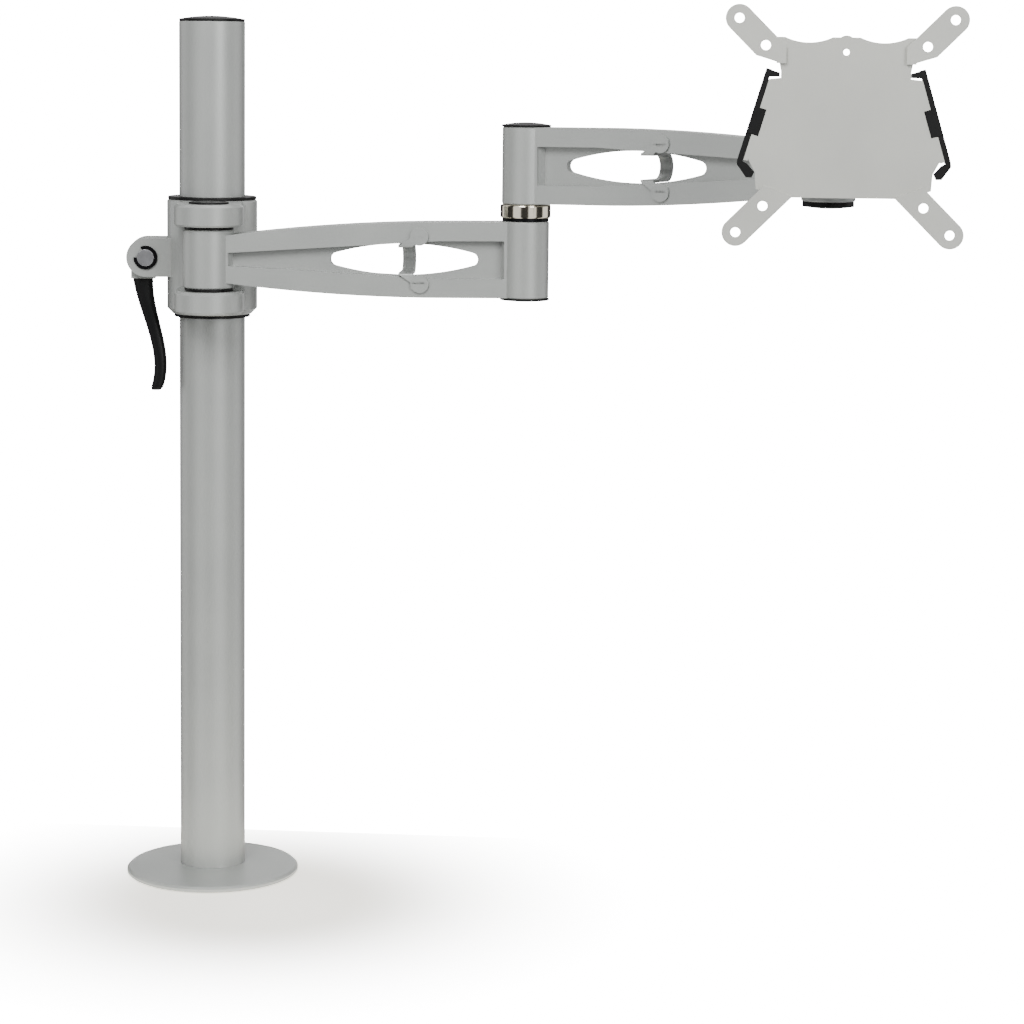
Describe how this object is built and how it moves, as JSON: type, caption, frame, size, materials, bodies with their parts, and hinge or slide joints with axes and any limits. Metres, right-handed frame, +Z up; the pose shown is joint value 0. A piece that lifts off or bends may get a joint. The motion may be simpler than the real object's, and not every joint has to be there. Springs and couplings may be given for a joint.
{
  "type": "monitor arm",
  "caption": "Desk-post monitor arm with a clamping collar, two windowed cast arms, an elbow joint and a swivel, tilt and turn head holding a lift-off monitor plate.",
  "frame": {"origin": "centre of the foot's underside, on the desk", "axes": "+Z up the post, -Y out of the monitor plate's face, +X from the post towards the head"},
  "size_m": [0.4314, 0.2117, 0.4712],
  "materials": {
    "painted_silver": "satin silver-grey powder coat",
    "painted_pale": "satin pale grey powder coat",
    "black_plastic": "moulded black plastic, fine texture",
    "black_rubber": "matte",
    "zinc_steel": "zinc-plated, turned",
    "black_steel": "black oxide",
    "chrome_ring": "bright nickel plate"
  },
  "bodies": {
    "post": {"base_pad": "black_rubber", "base_flange": "painted_silver", "post_foot": "zinc_steel", "flange_screws": "zinc_steel", "post_tube": "painted_silver", "post_cap": "black_plastic"},
    "bushes": {"upper_bush": "black_plastic", "lower_bush": "black_plastic"},
    "carrier": {"collar": "painted_silver", "pivot_bolt": "zinc_steel", "pivot_cap": "black_plastic", "pivot_nut": "zinc_steel", "lever_pin": "zinc_steel", "lever_circlips": "black_steel"},
    "shoe": {"brake_shoe": "zinc_steel", "shoe_pad": "black_rubber"},
    "lever": {"lever_hub": "painted_silver", "lever_grip": "black_plastic"},
    "lower_arm": {"lower_arm": "painted_silver", "collar_pivot_bushes": "black_plastic", "lower_cable_clip": "painted_silver", "elbow_spindle": "zinc_steel", "elbow_bolt": "zinc_steel", "elbow_bottom_cap": "black_plastic", "elbow_washer": "black_steel", "elbow_ring": "chrome_ring", "elbow_spring_washer": "zinc_steel", "elbow_nut": "zinc_steel"},
    "upper_arm": {"upper_arm": "painted_silver", "elbow_bushes": "black_plastic", "elbow_top_cap": "black_plastic", "upper_cable_clip": "painted_silver", "head_pivot_bushes": "black_plastic", "head_bottom_cap": "black_plastic"},
    "head": {"head_neck": "painted_silver", "head_spindle": "zinc_steel", "head_spindle_washer": "zinc_steel", "head_spindle_nut": "zinc_steel"},
    "tilt": {"tilt_fork": "painted_silver", "tilt_bolt": "zinc_steel", "tilt_washers": "black_plastic", "tilt_nut": "zinc_steel"},
    "rotor": {"receiver": "zinc_steel", "turn_washer": "black_plastic", "turn_bolt": "zinc_steel", "turn_nut": "zinc_steel"},
    "plate": {"vesa_plate": "painted_pale", "liner_left": "black_plastic", "liner_right": "black_plastic"}
  },
  "joints": [
    {"name": "collar_height", "type": "slide", "parent": "post", "child": "bushes", "axis": [0, 0, 1], "range_m": [-0.245, 0.085]},
    {"name": "collar_turn", "type": "hinge", "parent": "bushes", "child": "carrier", "pos_m": [0, 0, 0.3372], "axis": [0, 0, 1], "continuous": true},
    {"name": "lever_swing", "type": "hinge", "parent": "carrier", "child": "lever", "pos_m": [-0.03448, -0.00472, 0.3372], "axis": [-0.1357, 0.9907, 0], "range_deg": [0, 100]},
    {"name": "shoe_slide", "type": "slide", "parent": "carrier", "child": "shoe", "axis": [-0.9907, -0.1357, 0], "range_m": [0, 0.0008]},
    {"name": "arm_pivot", "type": "hinge", "parent": "carrier", "child": "lower_arm", "pos_m": [0.00563, -0.04112, 0.3392], "axis": [0, 0, 1], "range_deg": [-170, 25]},
    {"name": "elbow", "type": "hinge", "parent": "lower_arm", "child": "upper_arm", "pos_m": [0.1704, -0.03795, 0.3652], "axis": [0, 0, 1], "range_deg": [-100, 150]},
    {"name": "head_swivel", "type": "hinge", "parent": "upper_arm", "child": "head", "pos_m": [0.32373, -0.09835, 0.3918], "axis": [0, 0, 1], "range_deg": [-50, 100]},
    {"name": "tilt", "type": "hinge", "parent": "head", "child": "tilt", "pos_m": [0.32843, -0.13515, 0.4147], "axis": [1, 0, 0], "range_deg": [-15, 20]},
    {"name": "plate_turn", "type": "hinge", "parent": "tilt", "child": "rotor", "pos_m": [0.32843, -0.16515, 0.4147], "axis": [0, 1, 0], "range_deg": [-90, 90]},
    {"name": "plate_lift", "type": "slide", "parent": "rotor", "child": "plate", "axis": [0, 0, 1], "range_m": [0, 0.06]}
  ],
  "couplings": [
    {"joint": "shoe_slide", "follows": "lever_swing", "m_per_rad": 0.0004}
  ]
}
